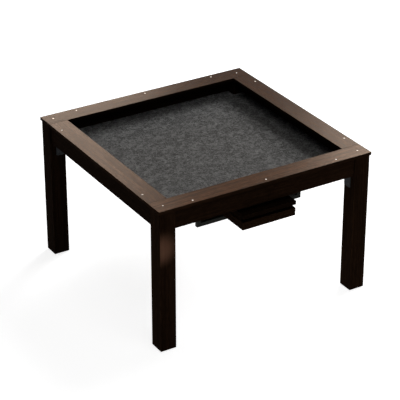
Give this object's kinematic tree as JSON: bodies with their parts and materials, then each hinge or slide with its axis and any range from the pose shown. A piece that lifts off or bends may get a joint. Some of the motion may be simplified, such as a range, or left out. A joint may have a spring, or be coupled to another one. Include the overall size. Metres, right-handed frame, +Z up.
{
  "type": "board game table",
  "caption": "Square board game table with a felt-floored recess inside a flat wooden rim, square legs, and loose cover boards stored in hangers underneath.",
  "frame": {"origin": "on the ground under the middle of the table", "axes": "+Z up, -Y towards the front side that the picture shows widest, +X along that side to the right"},
  "size_m": [1.2, 1.23, 0.764],
  "materials": {
    "stained_wood": "satin",
    "panel_plywood": "matte",
    "charcoal_felt": "matte",
    "bracket_steel": "satin",
    "hanger_steel": "satin",
    "screw_steel": "satin",
    "nylon_glide": "matte"
  },
  "bodies": {
    "table": {"rim_front": "stained_wood", "rim_right": "stained_wood", "rim_back": "stained_wood", "rim_left": "stained_wood", "apron_front": "stained_wood", "apron_right": "stained_wood", "apron_back": "stained_wood", "apron_left": "stained_wood", "leg_front_left": "stained_wood", "leg_front_right": "stained_wood", "leg_back_left": "stained_wood", "leg_back_right": "stained_wood", "glide_front_left": "nylon_glide", "glide_front_right": "nylon_glide", "glide_back_left": "nylon_glide", "glide_back_right": "nylon_glide", "play_panel": "panel_plywood", "play_felt": "charcoal_felt", "bracket_front_left_along_front": "bracket_steel", "bracket_front_left_along_left": "bracket_steel", "bracket_front_right_along_front": "bracket_steel", "bracket_front_right_along_right": "bracket_steel", "bracket_back_left_along_back": "bracket_steel", "bracket_back_left_along_left": "bracket_steel", "bracket_back_right_along_back": "bracket_steel", "bracket_back_right_along_right": "bracket_steel", "hanger_front": "hanger_steel", "hanger_back": "hanger_steel", "hanger_plates_front": "hanger_steel", "hanger_plates_back": "hanger_steel", "rim_screws": "screw_steel", "bracket_screws": "screw_steel", "hanger_screws": "screw_steel"},
    "cover_board_1": {"cover_board_1": "stained_wood"},
    "cover_board_2": {"cover_board_2": "stained_wood"},
    "cover_board_3": {"cover_board_3": "stained_wood"},
    "cover_board_4": {"cover_board_4": "stained_wood"}
  },
  "joints": [
    {"name": "cover_board_1_slide", "type": "slide", "parent": "table", "child": "cover_board_1", "axis": [0, -1, 0], "range_m": [-1.25, 1.25]},
    {"name": "cover_board_2_slide", "type": "slide", "parent": "table", "child": "cover_board_2", "axis": [0, -1, 0], "range_m": [-1.25, 1.25]},
    {"name": "cover_board_3_slide", "type": "slide", "parent": "table", "child": "cover_board_3", "axis": [0, -1, 0], "range_m": [-1.25, 1.25]},
    {"name": "cover_board_4_slide", "type": "slide", "parent": "table", "child": "cover_board_4", "axis": [0, -1, 0], "range_m": [-1.25, 1.25]}
  ]
}
